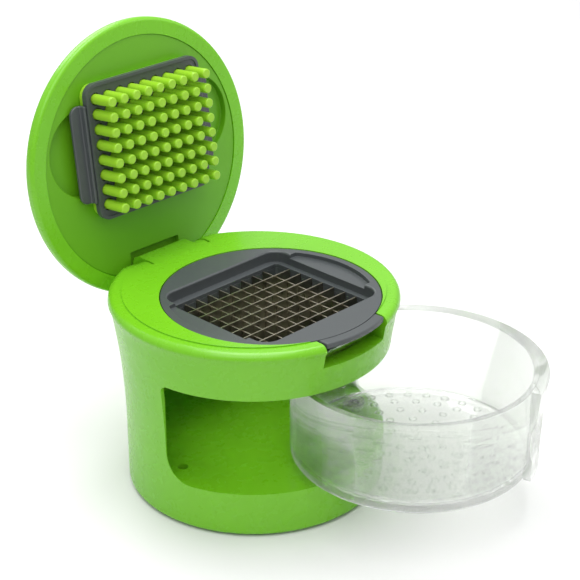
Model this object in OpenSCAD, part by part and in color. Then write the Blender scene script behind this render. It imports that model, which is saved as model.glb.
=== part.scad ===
// Hand dicer: round tower with a swing-out cup, a lift-out blade insert
// and a hinged lid that carries the pusher pins. Front is -Y, hinge is at +Y.

/* [Tower] */
// Outer radius of the tower at its foot
base_r = 42; // [38:0.5:60]
// Outer radius of the tower at its head
head_r = 46.4; // [42:0.1:64]
// Height up to which the tower is straight
flare_z = 22; // [10:0.5:40]
// Height of the flat top of the head
tower_h = 66.5; // [60:0.5:90]
// Thickness of the tower wall at its foot
wall = 2.7; // [2:0.1:4]
// Height of the floor that the cup turns on
floor_z = 15.5; // [14:0.5:22]
// Height of the upper edge of the window
window_top = 49.2; // [42:0.1:60]
// Distance of the window's side edges in front of the tower's axis
window_side = 3.2; // [0:0.1:5]
// Rounding of the window's lower corners
window_low_round = 9; // [2:0.5:12]
// Rounding of the window's upper corners
window_high_round = 3; // [1:0.5:6]
// Thickness of the floor slab and the deck
slab = 2.5; // [2:0.1:4]
// Width of the shoulder round the top plate
shoulder_w = 4.5; // [3.5:0.1:6]

/* [Cup] */
// Thickness of the cup wall
cup_wall = 1.9; // [1.2:0.1:3]
// Gap between the cup wall and the pocket
cup_gap = 0.5; // [0.3:0.05:1]
// Angle that the cup is swung out by
cup_angle = 100; // [0:1:110]
// Angle from the front to the cup pivot
pivot_angle = 64.4; // [60:0.1:68]

/* [Insert] */
// Radius of the insert plate
insert_r = 34.7; // [34:0.1:36]
// Distance of the insert's centre in front of the tower's axis
insert_shift = 7.5; // [6:0.1:8]
// Pitch of the cells
pitch = 4.95; // [4.5:0.05:5.2]
// Cells across the width
cells_x = 9; // [5:1:9]
// Cells from front to back
cells_y = 8; // [5:1:8]
// Height of the blades
blade_h = 5.6; // [3:0.1:5.6]
// Thickness of a blade
blade_t = 0.4; // [0.2:0.05:0.5]
// Half width of the front tab
tab_half = 12.6; // [8:0.1:14]

/* [Lid] */
// Distance of the lid's rim inside the head's outline
lid_inset = 0.8; // [0.5:0.1:2]
// Thickness of the lid at its edge
lid_edge = 4.6; // [4:0.1:6]
// Rise of the lid's crown above its edge
lid_crown = 2.6; // [0:0.1:5]
// Angle that the lid is opened by
lid_angle = 96.6; // [0:0.1:96.6]
// Diameter of a pusher pin at its root
pin_d = 3.4; // [2.4:0.1:3.5]
// Length of a pusher pin
pin_len = 10.4; // [8:0.1:10.6]

/* [Clearances] */
// Gap between pieces that move past each other
gap = 0.3; // [0.2:0.05:0.5]
// Radial gap between a pin and its bore
run_fit = 0.05; // [0.02:0.01:0.1]

/* [Hidden] */

round_fn = 180;
small_fn = 48;

// Tower
foot_z = 0.5;
foot_round = 1.5;
edge_round = 2.4;
shoulder_z = tower_h - 0.4;
pocket_r = base_r - wall;
floor_low = floor_z - 3.2;
plate_r = head_r - shoulder_w;
plate_t = 5.5;
plate_low = tower_h - plate_t;
seat_z = tower_h - 3.1;
boss_r = 3.6;
boss_ring = pocket_r - 8;
screw_r = 1.25;
cover_z = 0.9;
cover_t = 2;
foot_r = pocket_r - 2.3;

// Hinge: axis parallel to X
hinge_y = head_r - 7.9;
hinge_z = tower_h - 7.5;
roll_r = shoulder_z - hinge_z;
knuckle_half = 10.2;
knuckle_round = 3.8;
knuckle_back = 8.5;
ear_w = 4;
ear_r = roll_r - gap;
ear_front = 2.2;
ear_back = 4.2;
back_y = hinge_y - 4.5;
hinge_pin_r = 1.5;

// Lid, described closed
lid_r = head_r - lid_inset;
lid_low_round = 1.3;
lid_z = tower_h + gap;
liner_r = lid_r - 5.4;
liner_step = 0.3;
liner_t = 2.8;
liner_z = lid_z + liner_step;
lid_skin = lid_edge - liner_step - liner_t;
slot_y = hinge_y - 8.2;
slot_deep = 2.4;
lobe_r = 14.5;
lobe_x = 23;
lobe_deep = 2.4;

// Insert
opening_r = insert_r + gap;
grid_x = cells_x * pitch;
grid_y = cells_y * pitch;
edge_cell = 1.2;
hole_x = grid_x + 2 * edge_cell;
hole_y = grid_y + 2 * edge_cell;
blade_end = 1.6;
along_drop = 0.8;
ledge_x = 3;
ledge_y = 3.6;
well_x = grid_x + 2 * ledge_x;
well_y = grid_y + 2 * ledge_y;
well_round = 5;
well_wall = 1.9;
well_floor = tower_h - 4.1;
insert_top = tower_h - 0.2;
blade_top = well_floor - 0.2;
blade_low = blade_top - blade_h;
frame_low = blade_low - 1.4;
frame_seam = blade_top - 1.2;
tab_reach = head_r - 0.7;
tab_t = 1.9;
tab_deep = tab_reach - insert_shift - insert_r + 9;
notch_half = tab_half + 0.7;
notch_low = tower_h - 8.4;
recess_deep = 1.4;
recess_rim = 2.2;

// Presser and cleaning plate, described closed
presser_t = 2.2;
presser_z = liner_z - presser_t;
clean_x = grid_x + 3;
clean_y = grid_y + 5;
clean_t = 1.6;
clean_z = presser_z - 0.1 - clean_t;
clean_round = 4;
clean_rim = 0.4;
clean_hole_r = pin_d / 2 + gap;
grip_reach = 5;
grip_half = 16;
grip_t = 1.2;
grip_riser = 1.1;
grip_z = insert_top - recess_deep + gap;

// Cup, described closed and centred on the tower's axis
cup_r = pocket_r - cup_gap;
cup_low = floor_z + 1.7;
cup_top = window_top - 0.7;
cup_floor = 2.2;
cup_round = 3.2;
flange_inset = 1.6;
flange_from = -84;
flange_to = 86;
pivot_ring = cup_r - 4.1;
pivot = [pivot_ring * sin(pivot_angle), -pivot_ring * cos(pivot_angle)];
pivot_r = 1.95;
pip_ring = pivot_ring - 0.8;
pip_angle = -87;
pip_r = 1.35;
sweep_deep = wall - gap;
sweep_far = pivot_ring + cup_r + gap;
end_x = outer_at(cup_top) * sin(flange_to) - pivot[0];
end_y = -outer_at(cup_top) * cos(flange_to) - pivot[1];
sweep_near = sqrt(end_x * end_x + end_y * end_y) + gap;

// Outer radius of the tower at a height
function outer_at(z) =
  base_r + (head_r - base_r) * pow(max(0, z - flare_z) / (tower_h - flare_z), 2);

// Points on the tower's outline between two heights, a distance inside it
function outline(low, high, inset, n = 8) =
  [for (i = [0:n]) let (z = low + (high - low) * i / n) [outer_at(z) - inset, z]];

// Points of an arc
function arc(x, y, r, from, to, n = 8) =
  [for (i = [0:n]) [x + r * cos(from + (to - from) * i / n),
                    y + r * sin(from + (to - from) * i / n)]];

// Rectangle with round corners, centred
module round_rect(x, y, r) {
  square([x - 2 * r, y], center = true);
  square([x, y - 2 * r], center = true);
  for (sx = [-1, 1], sy = [-1, 1])
    translate([sx * (x / 2 - r), sy * (y / 2 - r)]) circle(r, $fn = small_fn);
}

// Plate with round corners, centred on the insert
module insert_block(x, y, r, low, high) {
  translate([0, -insert_shift, low]) linear_extrude(high - low) round_rect(x, y, r);
}

// Cylinder along X between two places
module bar_x(y, z, r, from, to) {
  translate([from, y, z]) rotate([0, 90, 0]) cylinder(h = to - from, r = r, $fn = 64);
}

// Block between two corners
module block(low, high) {
  translate(low) cube(high - low);
}

// Sector of a circle seen from above, between two angles from the front
module wedge(from, to, r) {
  polygon(concat([[0, 0]], [for (i = [0:12]) let (a = from + (to - from) * i / 12)
                            [r * sin(a), -r * cos(a)]]));
}

// Tapered outside of the tower up to a round upper edge
module tower_outside(top) {
  rotate_extrude($fn = round_fn)
    polygon(concat([[0, foot_z]],
                   arc(base_r - foot_round, foot_z + foot_round, foot_round, -90, 0),
                   outline(flare_z, top - edge_round - 1, 0, 10),
                   arc(outer_at(top) - edge_round, top - edge_round, edge_round, 0, 90),
                   [[0, top]]));
}

// Side view of the knuckle between the lid's ears
module knuckle_side() {
  top = hinge_z + roll_r;
  polygon(concat([[back_y, hinge_z - 6], [hinge_y + knuckle_back, hinge_z - 6]],
                 arc(hinge_y + knuckle_back - knuckle_round, top - knuckle_round, knuckle_round, 0, 90),
                 [[back_y, top]]));
}

// The knuckle as a solid
module knuckle() {
  rotate([90, 0, 90]) translate([0, 0, -knuckle_half]) linear_extrude(2 * knuckle_half) knuckle_side();
}

// Block behind the top plate that the lid's hinge rolls round
module hinge_roll() {
  intersection() {
    tower_outside(hinge_z + roll_r);
    union() {
      bar_x(hinge_y, hinge_z, roll_r, -head_r, head_r);
      block([-head_r, back_y, hinge_z - 6], [head_r, hinge_y, hinge_z + roll_r]);
      block([-head_r, back_y, hinge_z - 6], [head_r, hinge_y + roll_r, hinge_z]);
    }
  }
  knuckle();
}

// Round slots beside the knuckle for the lid's ears
module ear_slots() {
  for (s = [-1, 1]) translate([s * (knuckle_half + ear_w / 2 + gap), 0, 0]) {
    bar_x(hinge_y, hinge_z, ear_r + gap, -ear_w / 2 - gap, ear_w / 2 + gap);
    block([-ear_w / 2 - gap, hinge_y - ear_front - gap, hinge_z],
          [ear_w / 2 + gap, head_r + 5, tower_h + 5]);
    block([-ear_w / 2 - gap, hinge_y, hinge_z - ear_r],
          [ear_w / 2 + gap, head_r + 5, tower_h + 5]);
  }
}

// Round body that follows the tower's outline between two heights
module flange_round(low, high, inset) {
  rotate_extrude($fn = round_fn)
    polygon(concat([[0, low]], outline(low, high, inset), [[0, high]]));
}

// Opening for the cup in the front half
module window() {
  low = floor_z + window_low_round;
  high = window_top - window_high_round;
  rotate([90, 0, 90]) translate([0, 0, -head_r - 5]) linear_extrude(2 * head_r + 10)
    polygon(concat([[-head_r - 5, floor_z]],
                   arc(-window_side - window_low_round, low, window_low_round, -90, 0),
                   arc(-window_side - window_high_round, high, window_high_round, 0, 90),
                   [[-head_r - 5, window_top]]));
}

// Space inside the tower that the cup turns in
module pocket() {
  translate([0, 0, floor_z]) cylinder(h = plate_low - floor_z, r = pocket_r, $fn = round_fn);
  intersection() {
    translate([0, 0, floor_z])
      cylinder(h = window_top - floor_z, r = pocket_r + sweep_deep, $fn = round_fn);
    union() {
      translate([pivot[0], pivot[1], floor_z])
        cylinder(h = window_top - floor_z, r = sweep_near, $fn = round_fn);
      translate([pivot[0], pivot[1], floor_z])
        cylinder(h = window_top - floor_z, r = sweep_far, $fn = round_fn);
    }
    block([-head_r, -head_r, floor_z], [head_r, 9, window_top]);
  }
  // Room for the cup's flange behind the window's edges
  intersection() {
    flange_round(floor_z, window_top, flange_inset - gap);
    block([-head_r, -head_r, floor_z], [head_r, 9, window_top]);
  }
}

// Notch in the front of the rim for the insert's tab
module notch() {
  translate([0, 0, notch_low]) linear_extrude(tower_h - notch_low + 1)
    translate([0, -head_r - 2]) square([2 * notch_half, 2 * (head_r + 2 - pocket_r + 4)], center = true);
}

module tower() {
  color("limegreen") difference() {
    union() {
      difference() {
        tower_outside(shoulder_z);
        pocket();
        translate([0, 0, plate_low]) cylinder(h = plate_t + 1, r = plate_r, $fn = round_fn);
        translate([0, 0, -1]) cylinder(h = floor_low + 1, r = pocket_r - 0.6, $fn = round_fn);
      }
      difference() {
        hinge_roll();
        translate([0, 0, hinge_z - 10]) cylinder(h = plate_low - hinge_z + 10, r = pocket_r, $fn = round_fn);
      }
      for (i = [0:2]) rotate([0, 0, 90 + 120 * i]) translate([boss_ring, 0, cover_z + cover_t])
        cylinder(h = floor_low - cover_z - cover_t + 1, r = boss_r, $fn = small_fn);
    }
    window();
    notch();
    ear_slots();
    // Insert opening where it meets the shoulder
    translate([0, -insert_shift, seat_z]) cylinder(h = 10, r = opening_r, $fn = round_fn);
    // Room for the top plate in front of the hinge
    intersection() {
      translate([0, 0, plate_low]) cylinder(h = plate_t + 1, r = plate_r, $fn = round_fn);
      block([-head_r, -head_r, plate_low], [head_r, back_y, tower_h + 1]);
    }
    // Behind the hinge axis the head stays inside the roll
    difference() {
      block([-head_r - 5, hinge_y, hinge_z], [head_r + 5, head_r + 8, tower_h + 5]);
      bar_x(hinge_y, hinge_z, roll_r, -head_r, head_r);
      knuckle();
    }
    bar_x(hinge_y, hinge_z, hinge_pin_r + run_fit, -head_r, head_r);
    // Bores in the floor for the cup's pivot and its stop pip
    translate([pivot[0], pivot[1], floor_low - 1]) cylinder(h = 6, r = pivot_r + run_fit, $fn = small_fn);
    translate([pip_ring * sin(pip_angle), -pip_ring * cos(pip_angle), floor_low - 1])
      cylinder(h = 6, r = pip_r + gap, $fn = small_fn);
    for (i = [0:2]) rotate([0, 0, 90 + 120 * i]) translate([boss_ring, 0, 0])
      cylinder(h = floor_low - 2, r = screw_r + run_fit, $fn = small_fn);
  }
}

module ceiling_deck() {
  color("limegreen") difference() {
    translate([0, 0, window_top]) cylinder(h = slab, r = pocket_r, $fn = round_fn);
    insert_block(hole_x, hole_y, 4, window_top - 1, window_top + slab + 1);
  }
}

module top_plate() {
  color("limegreen") difference() {
    intersection() {
      translate([0, 0, plate_low]) cylinder(h = plate_t, r = plate_r, $fn = round_fn);
      block([-head_r, -head_r, plate_low], [head_r, back_y, tower_h]);
    }
    translate([0, -insert_shift, seat_z]) cylinder(h = 10, r = opening_r, $fn = round_fn);
    insert_block(well_x + 2 * well_wall + 2 * gap, well_y + 2 * well_wall + 2 * gap,
                 well_round + well_wall + gap, plate_low - 1, tower_h);
    notch();
    ear_slots();
  }
}

module base_cover() {
  color("limegreen") difference() {
    translate([0, 0, cover_z]) cylinder(h = cover_t, r = pocket_r - 0.7, $fn = round_fn);
    for (i = [0:2]) rotate([0, 0, 90 + 120 * i]) translate([boss_ring, 0, 0]) {
      cylinder(h = 5, r = screw_r + 0.2, $fn = small_fn);
      cylinder(h = cover_z + 1.3, r = 2.9, $fn = small_fn);
    }
  }
}

module foot_pad() {
  color("dimgray") cylinder(h = cover_z, r = foot_r, $fn = round_fn);
}

module base_screws() {
  color("silver") for (i = [0:2]) rotate([0, 0, 90 + 120 * i]) translate([boss_ring, 0, 0])
    difference() {
      union() {
        translate([0, 0, cover_z + 0.1]) cylinder(h = 1.2, r = 2.6, $fn = small_fn);
        translate([0, 0, cover_z + 1]) cylinder(h = 7, r = screw_r, $fn = small_fn);
      }
      translate([0, 0, cover_z]) {
        block([-1.6, -0.3, 0], [1.6, 0.3, 0.8]);
        block([-0.3, -1.6, 0], [0.3, 1.6, 0.8]);
      }
    }
}

// Turns what is described closed into its open place
module lid_open() {
  translate([0, hinge_y, hinge_z]) rotate([-lid_angle, 0, 0]) translate([0, -hinge_y, -hinge_z])
    children();
}

module lid_shell() {
  top = lid_z + lid_edge;
  color("limegreen") lid_open() difference() {
    union() {
      difference() {
        rotate_extrude($fn = round_fn)
          polygon(concat([[0, lid_z]],
                         arc(lid_r - lid_low_round, lid_z + lid_low_round, lid_low_round, -90, 0),
                         arc(lid_r - edge_round, top - edge_round, edge_round, 0, 75),
                         [for (i = [1:9]) let (t = i / 9)
                          [(lid_r - edge_round) * (1 - t), top + lid_crown * (1 - (1 - t) * (1 - t))]]));
        translate([0, 0, lid_z - 1]) cylinder(h = top - lid_skin - lid_z + 1, r = liner_r, $fn = round_fn);
      }
      for (s = [-1, 1]) translate([s * (knuckle_half + ear_w / 2 + gap), 0, 0]) {
        bar_x(hinge_y, hinge_z, ear_r, -ear_w / 2, ear_w / 2);
        block([-ear_w / 2, hinge_y - ear_front, hinge_z], [ear_w / 2, hinge_y + ear_back, liner_z]);
      }
    }
    block([-knuckle_half - gap, slot_y, hinge_z - 10], [knuckle_half + gap, lid_r + 5, lid_z + slot_deep]);
    bar_x(hinge_y, hinge_z, hinge_pin_r, -knuckle_half - ear_w, knuckle_half + ear_w);
  }
}

module lid_liner() {
  color("limegreen") lid_open() difference() {
    translate([0, 0, liner_z]) cylinder(h = liner_t, r = liner_r, $fn = round_fn);
    block([-knuckle_half - gap, slot_y, liner_z - 1], [knuckle_half + gap, lid_r, lid_z + slot_deep]);
    for (s = [-1, 1]) translate([s * lobe_x, -insert_shift, liner_z - 1])
      cylinder(h = lobe_deep + 1, r = lobe_r, $fn = small_fn);
  }
}

module hinge_pin() {
  color("silver") lid_open()
    bar_x(hinge_y, hinge_z, hinge_pin_r, -knuckle_half - ear_w, knuckle_half + ear_w);
}

module presser_base() {
  color("limegreen") lid_open()
    insert_block(clean_x - 1, clean_y - 1, clean_round, presser_z, liner_z);
}

// Places of the pusher pins, one over each cell
module at_cells() {
  for (i = [0:cells_x - 1], j = [0:cells_y - 1])
    translate([(i - (cells_x - 1) / 2) * pitch, (j - (cells_y - 1) / 2) * pitch - insert_shift, 0])
      children();
}

module pusher_pins() {
  color("greenyellow") lid_open() at_cells()
    translate([0, 0, presser_z - pin_len])
      cylinder(h = pin_len, r1 = pin_d / 2 - 0.1, r2 = pin_d / 2, $fn = 24);
}

module cleaning_plate() {
  color("slategray") lid_open() difference() {
    insert_block(clean_x, clean_y, clean_round, clean_z - clean_rim, clean_z + clean_t);
    insert_block(clean_x - 2, clean_y - 2, clean_round - 1, clean_z - clean_rim - 1, clean_z);
    at_cells() translate([0, 0, clean_z - 2]) cylinder(h = clean_t + 4, r = clean_hole_r, $fn = 24);
  }
}

// Grip on one side of the cleaning plate
module grip_tab(s) {
  lid_open() translate([s * clean_x / 2, -insert_shift, 0]) {
    translate([0, 0, grip_z]) linear_extrude(grip_t) intersection() {
      round_rect(2 * grip_reach, 2 * grip_half, 3);
      translate([s * grip_reach, 0]) square([2 * grip_reach, 3 * grip_half], center = true);
    }
    translate([0, 0, clean_z]) linear_extrude(grip_z + grip_t - clean_z)
      translate([s * grip_riser / 2, 0]) square([grip_riser, 2 * grip_half], center = true);
  }
}

module grip_tab_left() {
  color("slategray") grip_tab(-1);
}

module grip_tab_right() {
  color("slategray") grip_tab(1);
}

module insert_plate() {
  color("slategray") difference() {
    union() {
      translate([0, -insert_shift, seat_z]) cylinder(h = insert_top - seat_z, r = insert_r, $fn = round_fn);
      insert_block(well_x + 2 * well_wall, well_y + 2 * well_wall, well_round + well_wall,
                   frame_seam, insert_top);
    }
    insert_block(well_x, well_y, well_round, well_floor, insert_top + 1);
    insert_block(hole_x, hole_y, 1, frame_seam - 1, insert_top);
    // Shallow recesses that take the cleaning plate's grips, inside a rim
    intersection() {
      insert_block(2 * insert_r, 2 * grip_half + 1, 3, insert_top - recess_deep, insert_top + 1);
      translate([0, -insert_shift, insert_top - recess_deep])
        cylinder(h = recess_deep + 1, r = insert_r - recess_rim, $fn = round_fn);
    }
  }
}

module insert_tab() {
  color("slategray") translate([0, 0, insert_top - tab_t]) linear_extrude(tab_t)
    difference() {
      intersection() {
        translate([0, -insert_shift]) circle(tab_reach - insert_shift, $fn = round_fn);
        translate([0, -tab_reach + tab_deep / 2 - 1.2]) round_rect(2 * tab_half, tab_deep, 3);
      }
      translate([0, -insert_shift]) circle(insert_r, $fn = round_fn);
    }
}

module insert_frame() {
  color("slategray") difference() {
    insert_block(well_x + 2 * well_wall - 0.6, well_y + 2 * well_wall - 0.6, well_round + 3.5,
                 frame_low, frame_seam);
    insert_block(hole_x, hole_y, 1, frame_low - 1, frame_seam + 1);
    // Slots that hold the blade ends
    for (i = [1:cells_x - 1]) translate([(i - cells_x / 2) * pitch, -insert_shift, 0])
      block([-blade_t / 2, -hole_y / 2 - blade_end, blade_low],
            [blade_t / 2, hole_y / 2 + blade_end, frame_seam + 1]);
    for (j = [1:cells_y - 1]) translate([0, (j - cells_y / 2) * pitch - insert_shift, 0])
      block([-hole_x / 2 - blade_end, -blade_t / 2, blade_low],
            [hole_x / 2 + blade_end, blade_t / 2, frame_seam + 1]);
  }
}

// Blades parallel to X, notched from below where they cross the others
module blades_across() {
  color("lightgray") for (j = [1:cells_y - 1])
    translate([0, (j - cells_y / 2) * pitch - insert_shift, 0]) difference() {
      union() {
        block([-hole_x / 2, -blade_t / 2, blade_low], [hole_x / 2, blade_t / 2, blade_top]);
        block([-hole_x / 2 - blade_end, -blade_t / 2, blade_low],
              [hole_x / 2 + blade_end, blade_t / 2, frame_seam]);
      }
      for (i = [1:cells_x - 1]) translate([(i - cells_x / 2) * pitch, 0, 0])
        block([-blade_t / 2 - 0.05, -1, blade_low - 1],
              [blade_t / 2 + 0.05, 1, blade_low + blade_h / 2 + 0.05]);
    }
}

// Blades parallel to Y, notched from above
module blades_along() {
  color("lightgray") for (i = [1:cells_x - 1])
    translate([(i - cells_x / 2) * pitch, -insert_shift, 0]) difference() {
      union() {
        block([-blade_t / 2, -hole_y / 2, blade_low], [blade_t / 2, hole_y / 2, blade_top - along_drop]);
        block([-blade_t / 2, -hole_y / 2 - blade_end, blade_low],
              [blade_t / 2, hole_y / 2 + blade_end, frame_seam]);
      }
      for (j = [1:cells_y - 1]) translate([0, (j - cells_y / 2) * pitch, 0])
        block([-1, -blade_t / 2 - 0.05, blade_low + blade_h / 2 - 0.05],
              [1, blade_t / 2 + 0.05, blade_top + 1]);
    }
}

// Turns what is described closed into its swung-out place
module cup_out() {
  translate([pivot[0], pivot[1], 0]) rotate([0, 0, cup_angle]) translate([-pivot[0], -pivot[1], 0])
    children();
}

module cup() {
  color("lightcyan", 0.5) cup_out() {
    rotate_extrude($fn = round_fn)
      difference() {
        polygon(concat([[0, cup_low]],
                       arc(cup_r - cup_round, cup_low + cup_round, cup_round, -90, 0),
                       [[cup_r, cup_top], [0, cup_top]]));
        polygon(concat([[-1, cup_low + cup_floor]],
                       arc(cup_r - cup_wall - cup_round, cup_low + cup_floor + cup_round, cup_round, -90, 0),
                       [[cup_r - cup_wall, cup_top + 1], [-1, cup_top + 1]]));
      }
    translate([pip_ring * sin(pip_angle), -pip_ring * cos(pip_angle), floor_z + 0.2])
      cylinder(h = cup_low - floor_z - 0.2, r = pip_r, $fn = small_fn);
  }
}

module cup_flange() {
  color("lightcyan", 0.5) cup_out() difference() {
    intersection() {
      flange_round(cup_low, cup_top, flange_inset);
      translate([0, 0, cup_low]) linear_extrude(cup_top - cup_low)
        wedge(flange_from, flange_to, 2 * head_r);
    }
    translate([0, 0, cup_low - 1]) cylinder(h = cup_top - cup_low + 2, r = cup_r, $fn = round_fn);
    // Thumb scoop beside the flange's free end
    rotate([0, 0, -78]) translate([0, -outer_at(cup_low + 13) - 16.6, cup_low + 13])
      sphere(20, $fn = 72);
  }
}

// Pivot of the cup: a shoulder that rides on the floor and a stub in its bore
module cup_pivot() {
  color("lightcyan", 0.5) translate([pivot[0], pivot[1], 0]) {
    translate([0, 0, floor_z + 0.05]) cylinder(h = cup_low - floor_z - 0.05, r = 3.6, $fn = small_fn);
    translate([0, 0, floor_low + 0.3]) cylinder(h = floor_z - floor_low, r = pivot_r, $fn = small_fn);
  }
}

tower();
ceiling_deck();
top_plate();
base_cover();
foot_pad();
base_screws();
lid_shell();
lid_liner();
hinge_pin();
presser_base();
pusher_pins();
cleaning_plate();
grip_tab_left();
grip_tab_right();
insert_plate();
insert_tab();
insert_frame();
blades_across();
blades_along();
cup();
cup_flange();
cup_pivot();
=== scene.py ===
import math
import bpy
from mathutils import Matrix, Vector


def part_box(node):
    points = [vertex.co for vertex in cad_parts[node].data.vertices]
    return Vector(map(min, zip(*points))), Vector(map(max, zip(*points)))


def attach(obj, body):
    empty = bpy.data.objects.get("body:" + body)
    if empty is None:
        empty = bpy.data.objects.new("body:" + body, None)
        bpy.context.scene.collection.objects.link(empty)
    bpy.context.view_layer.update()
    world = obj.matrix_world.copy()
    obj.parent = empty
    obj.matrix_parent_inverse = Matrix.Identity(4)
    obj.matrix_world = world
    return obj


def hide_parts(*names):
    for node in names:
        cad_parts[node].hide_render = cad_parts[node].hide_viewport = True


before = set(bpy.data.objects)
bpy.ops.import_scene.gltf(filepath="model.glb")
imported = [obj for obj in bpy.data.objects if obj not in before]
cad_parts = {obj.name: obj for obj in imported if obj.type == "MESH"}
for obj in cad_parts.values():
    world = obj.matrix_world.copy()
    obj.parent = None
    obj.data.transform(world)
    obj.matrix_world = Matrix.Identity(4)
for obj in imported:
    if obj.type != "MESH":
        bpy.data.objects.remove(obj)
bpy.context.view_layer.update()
mm = 0.001  # sizes below are in millimetres
print("frame loaded")


def clearSelection():
    if bpy.context.object and bpy.context.object.mode != 'OBJECT':
        bpy.ops.object.mode_set(mode='OBJECT')
    bpy.ops.object.select_all(action='DESELECT')


def pick(piece):
    clearSelection()
    piece.select_set(True)
    bpy.context.view_layer.objects.active = piece


def applyModifiers(piece):
    pick(piece)
    for modifier in list(piece.modifiers):
        bpy.ops.object.modifier_apply(modifier=modifier.name)


def smooth(piece, angle=35):
    pick(piece)
    bpy.ops.object.shade_smooth_by_angle(angle=math.radians(angle))
    even = piece.modifiers.new("evenShading", 'WEIGHTED_NORMAL')
    even.keep_sharp = True
    applyModifiers(piece)


def roundEdges(piece, width, segments=3, angle=40):
    bevel = piece.modifiers.new("roundEdges", 'BEVEL')
    bevel.width = width * mm
    bevel.segments = segments
    bevel.limit_method = 'ANGLE'
    bevel.angle_limit = math.radians(angle)
    bevel.miter_outer = 'MITER_ARC'
    applyModifiers(piece)


def rollEdges(piece, wanted, width, segments):
    # rounds only the edges that the test picks
    pick(piece)
    bpy.ops.object.mode_set(mode='EDIT')
    bpy.ops.mesh.select_all(action='DESELECT')
    bpy.ops.mesh.select_mode(type='EDGE')
    bpy.ops.object.mode_set(mode='OBJECT')
    points = piece.data.vertices
    for edge in piece.data.edges:
        edge.select = wanted(points[edge.vertices[0]].co / mm, points[edge.vertices[1]].co / mm)
    bpy.ops.object.mode_set(mode='EDIT')
    bpy.ops.mesh.bevel(offset=width * mm, segments=segments, profile=0.5, clamp_overlap=True)
    bpy.ops.mesh.select_all(action='DESELECT')
    bpy.ops.object.mode_set(mode='OBJECT')


def combine(piece, other, mode):
    boolean = piece.modifiers.new("combine", 'BOOLEAN')
    boolean.operation = mode
    boolean.object = other
    boolean.solver = 'EXACT'
    applyModifiers(piece)
    bpy.data.objects.remove(other, do_unlink=True)


meshSizes = {"settleMerge": 0.003, "copyMerge": 0.002, "copyFlat": 0.4, "turnMerge": 0.001, "turnSteps": 180}


def settle(piece):
    # applies the object's place, joins doubles and turns faces outwards
    pick(piece)
    bpy.ops.object.transform_apply(location=True, rotation=True, scale=True)
    bpy.ops.object.mode_set(mode='EDIT')
    bpy.ops.mesh.select_all(action='SELECT')
    bpy.ops.mesh.remove_doubles(threshold=meshSizes["settleMerge"] * mm)
    bpy.ops.mesh.normals_make_consistent(inside=False)
    bpy.ops.object.mode_set(mode='OBJECT')


def copyOfNode(node, name):
    # own copy of a CAD node with its loose triangles joined
    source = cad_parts[node]
    piece = source.copy()
    piece.data = source.data.copy()
    piece.name = name
    piece.data.name = name
    piece.parent = None
    bpy.context.scene.collection.objects.link(piece)
    piece.matrix_world = Matrix()
    pick(piece)
    bpy.ops.object.mode_set(mode='EDIT')
    bpy.ops.mesh.select_all(action='SELECT')
    bpy.ops.mesh.remove_doubles(threshold=meshSizes["copyMerge"] * mm)
    bpy.ops.mesh.dissolve_limited(angle_limit=math.radians(meshSizes["copyFlat"]))
    bpy.ops.object.mode_set(mode='OBJECT')
    return piece


def dress(piece, material, body):
    piece.data.materials.clear()
    piece.data.materials.append(material)
    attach(piece, body)


def meshPiece(name, points, edges, faces):
    mesh = bpy.data.meshes.new(name)
    mesh.from_pydata([tuple(value * mm for value in point) for point in points], edges, faces)
    piece = bpy.data.objects.new(name, mesh)
    bpy.context.scene.collection.objects.link(piece)
    return piece


def lathe(name, outline):
    # turns a closed outline of (radius, height) about the Z axis
    count = len(outline)
    points = [(radius, 0, height) for radius, height in outline]
    piece = meshPiece(name, points, [(i, (i + 1) % count) for i in range(count)], [])
    screw = piece.modifiers.new("turn", 'SCREW')
    screw.axis = 'Z'
    screw.angle = 2 * math.pi
    screw.steps = meshSizes["turnSteps"]
    screw.render_steps = meshSizes["turnSteps"]
    screw.use_merge_vertices = True
    screw.merge_threshold = meshSizes["turnMerge"] * mm
    applyModifiers(piece)
    settle(piece)
    return piece


def arc(x, y, radius, start, stop, steps=8):
    turns = [math.radians(start + (stop - start) * i / steps) for i in range(steps + 1)]
    return [(x + radius * math.cos(turn), y + radius * math.sin(turn)) for turn in turns]


def prism(name, outline, low, high):
    count = len(outline)
    points = [(x, y, low) for x, y in outline] + [(x, y, high) for x, y in outline]
    sides = [(i, (i + 1) % count, count + (i + 1) % count, count + i) for i in range(count)]
    ends = [tuple(reversed(range(count))), tuple(range(count, 2 * count))]
    piece = meshPiece(name, points, [], sides + ends)
    settle(piece)
    return piece


def startMaterial(name):
    material = bpy.data.materials.new(name)
    material.use_nodes = True
    tree = material.node_tree
    surface = tree.nodes["Principled BSDF"]
    place = tree.nodes.new("ShaderNodeTexCoord").outputs["Object"]
    return material, tree, surface, place


def stretched(tree, place, scale):
    mapping = tree.nodes.new("ShaderNodeMapping")
    mapping.inputs["Scale"].default_value = scale
    tree.links.new(place, mapping.inputs["Vector"])
    return mapping.outputs["Vector"]


def noise(tree, place, scale, detail=3, roughness=0.5):
    texture = tree.nodes.new("ShaderNodeTexNoise")
    texture.inputs["Scale"].default_value = scale
    texture.inputs["Detail"].default_value = detail
    texture.inputs["Roughness"].default_value = roughness
    tree.links.new(place, texture.inputs["Vector"])
    return texture.outputs["Fac"]


def spread(tree, value, low, high, start=0.3, stop=0.7):
    ranged = tree.nodes.new("ShaderNodeMapRange")
    for socket, number in (("From Min", start), ("From Max", stop), ("To Min", low), ("To Max", high)):
        ranged.inputs[socket].default_value = number
    tree.links.new(value, ranged.inputs["Value"])
    return ranged.outputs["Result"]


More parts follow.
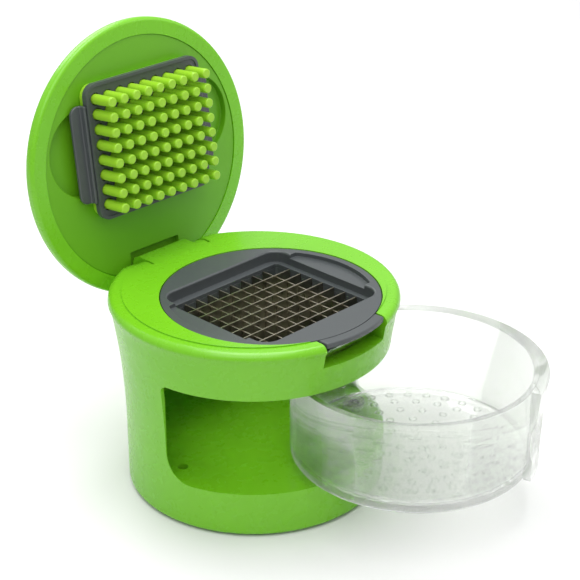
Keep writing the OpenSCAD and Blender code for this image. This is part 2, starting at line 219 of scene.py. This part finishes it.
def mixColours(tree, factor, first, second):
    mix = tree.nodes.new("ShaderNodeMix")
    mix.data_type = 'RGBA'
    tree.links.new(factor, mix.inputs["Factor"])
    for socket, colour in ((mix.inputs[6], first), (mix.inputs[7], second)):
        if isinstance(colour, tuple):
            socket.default_value = (*colour, 1)
        else:
            tree.links.new(colour, socket)
    return mix.outputs[2]


def addBump(tree, surface, heights, distance):
    # stacks several height patterns, each with its own strength
    last = None
    for value, strength in heights:
        bump = tree.nodes.new("ShaderNodeBump")
        bump.inputs["Strength"].default_value = strength
        bump.inputs["Distance"].default_value = distance * mm
        tree.links.new(value, bump.inputs["Height"])
        if last:
            tree.links.new(last, bump.inputs["Normal"])
        last = bump.outputs["Normal"]
    tree.links.new(last, surface.inputs["Normal"])


plasticFinish = {"mottleScale": 38, "scuffStretch": (260, 900, 420), "scuffFrom": 0.62, "scuffTo": 0.74,
                 "scuffShare": 0.1, "paler": 1.07, "lift": 0.004, "wornScale": 160, "smoother": 0.025,
                 "rougher": 0.035, "waveScale": 55, "wave": 0.006, "grainScale": 2600, "grain": 0.012,
                 "depth": 0.12}


def plastic(name, light, dark, roughness):
    # moulded plastic: faint mottling, handling scuffs, flow waves and a fine grain
    material, tree, surface, place = startMaterial(name)
    finish = plasticFinish
    mottle = spread(tree, noise(tree, place, finish["mottleScale"], 4), 0, 1)
    scuffPlace = stretched(tree, place, finish["scuffStretch"])
    scuff = spread(tree, noise(tree, scuffPlace, 1, 5, 0.6), 0, 1, finish["scuffFrom"], finish["scuffTo"])
    base = mixColours(tree, mottle, light, dark)
    paler = tuple(min(1, value * finish["paler"] + finish["lift"]) for value in light)
    tree.links.new(mixColours(tree, spread(tree, scuff, 0, finish["scuffShare"], 0, 1), base, paler),
                   surface.inputs["Base Color"])
    worn = noise(tree, place, finish["wornScale"], 4, 0.6)
    tree.links.new(spread(tree, worn, roughness - finish["smoother"], roughness + finish["rougher"]),
                   surface.inputs["Roughness"])
    waves = noise(tree, place, finish["waveScale"], 2)
    grain = noise(tree, place, finish["grainScale"], 2)
    addBump(tree, surface, ((waves, finish["wave"]), (grain, finish["grain"])), finish["depth"])
    return material


steelFinish = {"patchScale": 120, "duller": 0.62, "smoother": 0.08, "rougher": 0.14, "lineHeight": 0.12,
               "patchHeight": 0.04, "depth": 0.03}


def groundSteel(name, colour, grainScale, roughness):
    # strip steel with fine grinding lines and duller patches
    material, tree, surface, place = startMaterial(name)
    finish = steelFinish
    lines = noise(tree, stretched(tree, place, grainScale), 1, 4, 0.65)
    patches = noise(tree, place, finish["patchScale"], 4)
    darker = tuple(value * finish["duller"] for value in colour)
    tree.links.new(mixColours(tree, spread(tree, patches, 0, 1), colour, darker),
                   surface.inputs["Base Color"])
    tree.links.new(spread(tree, lines, roughness - finish["smoother"], roughness + finish["rougher"]),
                   surface.inputs["Roughness"])
    surface.inputs["Metallic"].default_value = 1
    addBump(tree, surface, ((lines, finish["lineHeight"]), (patches, finish["patchHeight"])), finish["depth"])
    return material


clearFinish = {"blend": 0.45, "alphaFacing": 0.5, "alphaEdgeOn": 0.92, "tint": 0.96, "tintScale": 40,
               "hazeScale": 300, "hazeLow": 0.01, "hazeHigh": 0.05, "ior": 1.49, "waveScale": 26,
               "wave": 0.05, "hairScale": 420, "hair": 0.01, "depth": 0.15}


def clearPlastic(name, colour):
    # clear moulded plastic with faint flow waves and hairline haze
    material, tree, surface, place = startMaterial(name)
    finish = clearFinish
    facing = tree.nodes.new("ShaderNodeLayerWeight")
    facing.inputs["Blend"].default_value = finish["blend"]
    alpha = spread(tree, facing.outputs["Facing"], finish["alphaFacing"], finish["alphaEdgeOn"], 0, 1)
    tree.links.new(alpha, surface.inputs["Alpha"])
    edgeTint = tuple(value * finish["tint"] for value in colour)
    tintShare = spread(tree, noise(tree, place, finish["tintScale"], 3), 0, 1)
    tree.links.new(mixColours(tree, tintShare, colour, edgeTint), surface.inputs["Base Color"])
    haze = noise(tree, place, finish["hazeScale"], 5, 0.6)
    tree.links.new(spread(tree, haze, finish["hazeLow"], finish["hazeHigh"]), surface.inputs["Roughness"])
    surface.inputs["Transmission Weight"].default_value = 1
    surface.inputs["IOR"].default_value = finish["ior"]
    waves = noise(tree, place, finish["waveScale"], 2)
    hairlines = noise(tree, place, finish["hairScale"], 3)
    addBump(tree, surface, ((waves, finish["wave"]), (hairlines, finish["hair"])), finish["depth"])
    return material


rubberFinish = {"dustScale": 90, "paler": 1.5, "lift": 0.01, "wornScale": 240, "wornLow": 0.62,
                "wornHigh": 0.82, "grainScale": 1400, "grain": 0.2, "depth": 0.1}


def softRubber(name, colour):
    # dusty matt rubber
    material, tree, surface, place = startMaterial(name)
    finish = rubberFinish
    dusty = tuple(value * finish["paler"] + finish["lift"] for value in colour)
    dust = spread(tree, noise(tree, place, finish["dustScale"], 5, 0.6), 0, 1)
    tree.links.new(mixColours(tree, dust, colour, dusty), surface.inputs["Base Color"])
    worn = noise(tree, place, finish["wornScale"], 4)
    tree.links.new(spread(tree, worn, finish["wornLow"], finish["wornHigh"]), surface.inputs["Roughness"])
    grain = noise(tree, place, finish["grainScale"], 3)
    addBump(tree, surface, ((grain, finish["grain"]),), finish["depth"])
    return material


green = plastic("greenPlastic", (0.172, 0.52, 0.012), (0.160, 0.495, 0.010), 0.27)
liningGreen = plastic("liningPlastic", (0.132, 0.40, 0.006), (0.122, 0.378, 0.005), 0.45)
pinGreen = plastic("pinPlastic", (0.33, 0.63, 0.028), (0.30, 0.59, 0.024), 0.3)
grey = plastic("greyPlastic", (0.070, 0.079, 0.081), (0.063, 0.072, 0.076), 0.36)
bladeSteel = groundSteel("bladeSteel", (0.44, 0.41, 0.32), (900, 900, 90), 0.34)
pinSteel = groundSteel("pinSteel", (0.55, 0.55, 0.54), (120, 1500, 1500), 0.26)
cupClear = clearPlastic("cupPlastic", (0.87, 0.90, 0.86))
footRubber = softRubber("footRubber", (0.03, 0.03, 0.03))
print("materials made")

# node, piece, body, material, slot, edge rounding and its steps
mouldedPieces = (
    ("tower", "towerShell", "base", green, "green", 0.9, 3),
    ("ceiling_deck", "ceilingDeck", "base", green, "green", 0.3, 2),
    ("top_plate", "topPlate", "base", green, "green", 0.3, 2),
    ("base_cover", "baseCover", "base", green, "green", 0.3, 2),
    ("lid_shell", "lidCap", "lid", green, "green", 0.5, 3),
    ("lid_liner", "lidLiner", "lid", liningGreen, "green", 0.4, 3),
    ("presser_base", "presserBlock", "lid", pinGreen, "green", 0.4, 3),
    ("pusher_pins", "pusherPins", "lid", pinGreen, "pin_green", 0.5, 3),
    ("cleaning_plate", "cleaningPlate", "cleaner", grey, "grey", 0.2, 2),
    ("grip_tab_left", "gripLeft", "cleaner", grey, "grey", 0.45, 3),
    ("grip_tab_right", "gripRight", "cleaner", grey, "grey", 0.45, 3),
    ("insert_tab", "insertTab", "insert", grey, "grey", 0.5, 3),
    ("insert_frame", "insertFrame", "insert", grey, "grey", 0.25, 2),
)
for node, name, body, material, slot, width, steps in mouldedPieces:
    piece = copyOfNode(node, name)
    roundEdges(piece, width, steps)
    smooth(piece)
    dress(piece, material, body)
    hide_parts(node)
print("moulded pieces rounded")

# the insert's plate: a soft roll round the well, smaller edges elsewhere
insertSizes = {"roll": 1.2, "rollSteps": 5, "edge": 0.3, "edgeAngle": 50, "wellX": 50.55, "wellY": 46.8,
               "slack": 0.05, "rollFrom": 64}
insertBox = [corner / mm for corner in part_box("insert_plate")]
insertMiddle = (insertBox[0] + insertBox[1]) / 2


def onWellRim(first, second):
    for point in (first, second):
        if abs(point.x - insertMiddle.x) > insertSizes["wellX"] / 2 + insertSizes["slack"]:
            return False
        if abs(point.y - insertMiddle.y) > insertSizes["wellY"] / 2 + insertSizes["slack"]:
            return False
        if point.z < insertSizes["rollFrom"]:
            return False
    return abs(first.z - second.z) < insertSizes["slack"]


insertPlate = copyOfNode("insert_plate", "insertPlate")
rollEdges(insertPlate, onWellRim, insertSizes["roll"], insertSizes["rollSteps"])
roundEdges(insertPlate, insertSizes["edge"], 2, insertSizes["edgeAngle"])
smooth(insertPlate)
dress(insertPlate, grey, "insert")
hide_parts("insert_plate")
print("insert plate made")

# the clear cup with its flange, thumb scoop and stop pip, made closed and then swung out
cupSizes = {"wall": 1.9, "floor": 2.2, "round": 3.2, "lip": 0.35, "inset": 1.62, "overlap": 0.9,
            "flangeFrom": -84, "flangeTo": 86, "flangeDrop": 0.12, "flangeEdge": 0.45, "edgeAngle": 50,
            "heightSteps": 10, "turnSteps": 12,
            "scoopTurn": -78, "scoopRise": 13, "scoopRadius": 20, "scoopOut": 16.6,
            "pivotRing": 34.7, "pivotTurn": 64.4, "swing": 100,
            "pipRing": 33.9, "pipTurn": -87, "pipRadius": 1.35, "pipLow": 15.7,
            "pipRoot": 1, "pipEdge": 0.3}
towerSizes = {"footRadius": 42, "flareFrom": 22, "height": 66.5, "headRadius": 46.4}
cupBox = [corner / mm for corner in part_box("cup")]
flangeBox = [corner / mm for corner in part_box("cup_flange")]
cupRadius = (cupBox[1].x - cupBox[0].x) / 2
cupLow = flangeBox[0].z
cupTop = cupBox[1].z


def outerAt(height):
    climb = max(0, height - towerSizes["flareFrom"]) / (towerSizes["height"] - towerSizes["flareFrom"])
    return towerSizes["footRadius"] + (towerSizes["headRadius"] - towerSizes["footRadius"]) * climb ** 2


def onRing(turn, radius):
    # place at an angle from the front
    return radius * math.sin(math.radians(turn)), -radius * math.cos(math.radians(turn))


def makeCup():
    sizes = cupSizes
    inner = cupRadius - sizes["wall"]
    outline = [(0, cupLow)]
    outline += arc(cupRadius - sizes["round"], cupLow + sizes["round"], sizes["round"], -90, 0)
    outline += arc(cupRadius - sizes["lip"], cupTop - sizes["lip"], sizes["lip"], 0, 90, 3)
    outline += arc(inner + sizes["lip"], cupTop - sizes["lip"], sizes["lip"], 90, 180, 3)
    outline += arc(inner - sizes["round"], cupLow + sizes["floor"] + sizes["round"], sizes["round"], 0, -90)
    outline += [(0, cupLow + sizes["floor"])]
    cup = lathe("cupBody", outline)
    low, high = cupLow + sizes["flangeDrop"], cupTop - sizes["flangeDrop"]
    climb = high - low
    heights = [low + climb * step / sizes["heightSteps"] for step in range(sizes["heightSteps"] + 1)]
    flange = lathe("flange", [(cupRadius - sizes["overlap"], low)]
                   + [(outerAt(height) - sizes["inset"], height) for height in heights]
                   + [(cupRadius - sizes["overlap"], high)])
    sweep = sizes["flangeTo"] - sizes["flangeFrom"]
    turns = [sizes["flangeFrom"] + sweep * step / sizes["turnSteps"] for step in range(sizes["turnSteps"] + 1)]
    wedge = prism("wedge", [(0, 0)] + [onRing(turn, 2 * cupRadius) for turn in turns], 0, 2 * cupTop)
    combine(flange, wedge, 'INTERSECT')
    bpy.ops.mesh.primitive_uv_sphere_add(segments=96, ring_count=48, radius=sizes["scoopRadius"] * mm)
    scoop = bpy.context.object
    scoopHeight = cupLow + sizes["scoopRise"]
    scoopX, scoopY = onRing(sizes["scoopTurn"], outerAt(scoopHeight) + sizes["scoopOut"])
    scoop.location = (scoopX * mm, scoopY * mm, scoopHeight * mm)
    settle(scoop)
    combine(flange, scoop, 'DIFFERENCE')
    roundEdges(flange, sizes["flangeEdge"], 3, sizes["edgeAngle"])
    combine(cup, flange, 'UNION')
    pipX, pipY = onRing(sizes["pipTurn"], sizes["pipRing"])
    pipTop = cupLow + sizes["pipRoot"]
    bpy.ops.mesh.primitive_cylinder_add(vertices=32, radius=sizes["pipRadius"] * mm,
                                        depth=(pipTop - sizes["pipLow"]) * mm,
                                        location=(pipX * mm, pipY * mm, (pipTop + sizes["pipLow"]) / 2 * mm))
    pip = bpy.context.object
    settle(pip)
    roundEdges(pip, sizes["pipEdge"], 2)
    combine(cup, pip, 'UNION')
    return cup


# rows of studs on the cup's floor as (row radius, number)
studSizes = {"rows": ((4, 3), (10, 8), (16, 13), (22, 19), (27.5, 24), (32, 32)), "ring": 1.15, "thick": 0.28,
             "twist": 7, "rise": 0.05}


def makeCupStuds():
    # small rings half sunk in the cup's floor
    studs = []
    studHeight = cupLow + cupSizes["floor"] + studSizes["rise"]
    for radius, count in studSizes["rows"]:
        for i in range(count):
            x, y = onRing(360 * i / count + studSizes["twist"] * radius, radius)
            bpy.ops.mesh.primitive_torus_add(major_radius=studSizes["ring"] * mm,
                                             minor_radius=studSizes["thick"] * mm,
                                             major_segments=20, minor_segments=8,
                                             location=(x * mm, y * mm, studHeight * mm))
            studs.append(bpy.context.object)
    clearSelection()
    for stud in studs:
        stud.select_set(True)
    bpy.context.view_layer.objects.active = studs[0]
    bpy.ops.object.join()
    studs[0].name = "cupStuds"
    settle(studs[0])
    return studs[0]


def swingOut(piece):
    pivotX, pivotY = onRing(cupSizes["pivotTurn"], cupSizes["pivotRing"])
    away = Matrix.Translation((pivotX * mm, pivotY * mm, 0))
    piece.matrix_world = away @ Matrix.Rotation(math.radians(cupSizes["swing"]), 4, 'Z') @ away.inverted()
    settle(piece)


cupBody = makeCup()
cupStuds = makeCupStuds()
for piece in (cupBody, cupStuds):
    swingOut(piece)
    smooth(piece, 40)
    dress(piece, cupClear, "cup")
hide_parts("cup", "cup_flange")
print("cup made")

# CAD nodes that are kept and only get a better finish
keptNodes = {"foot_pad": footRubber, "base_screws": pinSteel, "hinge_pin": pinSteel,
             "blades_across": bladeSteel, "blades_along": bladeSteel, "cup_pivot": cupClear}
for node, material in keptNodes.items():
    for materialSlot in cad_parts[node].material_slots:
        materialSlot.link = 'OBJECT'
        materialSlot.material = material
print("kept nodes finished")


def softLight(name, place, aimHeight, width, depth, power):
    clearSelection()
    bpy.ops.object.light_add(type='AREA', location=place)
    lamp = bpy.context.object
    lamp.name = name
    lamp.data.shape = 'RECTANGLE'
    lamp.data.size = width
    lamp.data.size_y = depth
    lamp.data.energy = power
    lamp.rotation_euler = (Vector((0, 0, aimHeight)) - Vector(place)).to_track_quat('-Z', 'Y').to_euler()


paperSizes = {"side": 6, "mottleScale": 4, "light": (0.79, 0.79, 0.79), "dark": (0.78, 0.78, 0.78),
              "roughness": 0.9}
clearSelection()
bpy.ops.mesh.primitive_plane_add(size=paperSizes["side"], location=(0, 0, 0))
floor = bpy.context.object
floor.name = "floor"
paper, paperTree, paperSurface, paperPlace = startMaterial("paper")
paperMottle = noise(paperTree, paperPlace, paperSizes["mottleScale"], 2)
paperTint = mixColours(paperTree, paperMottle, paperSizes["light"], paperSizes["dark"])
paperTree.links.new(paperTint, paperSurface.inputs["Base Color"])
paperSurface.inputs["Roughness"].default_value = paperSizes["roughness"]
floor.data.materials.append(paper)

# lamp, place, height aimed at, width, depth, power
lamps = (
    ("keyLight", (-0.35, -0.25, 0.75), 0.05, 0.6, 0.6, 2.3),
    ("topLight", (0.08, 0.05, 0.8), 0.06, 0.5, 0.5, 4),
    ("fillLight", (0.6, -0.45, 0.5), 0.05, 0.5, 0.5, 0.9),
    ("rimLight", (0.2, 0.7, 0.6), 0.06, 0.6, 0.4, 2.4),
)
for lamp in lamps:
    softLight(*lamp)

# sky: darker near the horizon so that the clear cup's edges show
skySizes = {"low": (0.52, 0.53, 0.53), "high": (1, 1, 1), "climbFrom": 0.05, "climbTo": 0.5, "strength": 0.7}
world = bpy.data.worlds.new("studio")
bpy.context.scene.world = world
world.use_nodes = True
worldTree = world.node_tree
worldPlace = worldTree.nodes.new("ShaderNodeTexCoord").outputs["Generated"]
worldSplit = worldTree.nodes.new("ShaderNodeSeparateXYZ")
worldTree.links.new(worldPlace, worldSplit.inputs["Vector"])
worldClimb = spread(worldTree, worldSplit.outputs["Z"], 0, 1, skySizes["climbFrom"], skySizes["climbTo"])
worldTint = mixColours(worldTree, worldClimb, skySizes["low"], skySizes["high"])
worldTree.links.new(worldTint, worldTree.nodes["Background"].inputs["Color"])
worldTree.nodes["Background"].inputs["Strength"].default_value = skySizes["strength"]
print("stage lit")

# camera: seen from the front left, slightly from above
cameraSizes = {"place": (-0.3290, -0.3388, 0.2912), "azimuth": -45.667, "elevation": 25.465, "lens": 102.65,
               "sensor": 36, "shiftX": -0.006, "shiftY": -0.0064, "nearest": 0.01}
clearSelection()
bpy.ops.object.camera_add(location=cameraSizes["place"])
camera = bpy.context.object
azimuth = math.radians(cameraSizes["azimuth"])
elevation = math.radians(cameraSizes["elevation"])
backwards = Vector((math.sin(azimuth) * math.cos(elevation), -math.cos(azimuth) * math.cos(elevation),
                    math.sin(elevation)))
camera.rotation_euler = backwards.to_track_quat('Z', 'Y').to_euler()
camera.data.lens = cameraSizes["lens"]
camera.data.sensor_width = cameraSizes["sensor"]
camera.data.shift_x = cameraSizes["shiftX"]
camera.data.shift_y = cameraSizes["shiftY"]
camera.data.clip_start = cameraSizes["nearest"]
bpy.context.scene.camera = camera
bpy.context.scene.view_settings.view_transform = 'Standard'
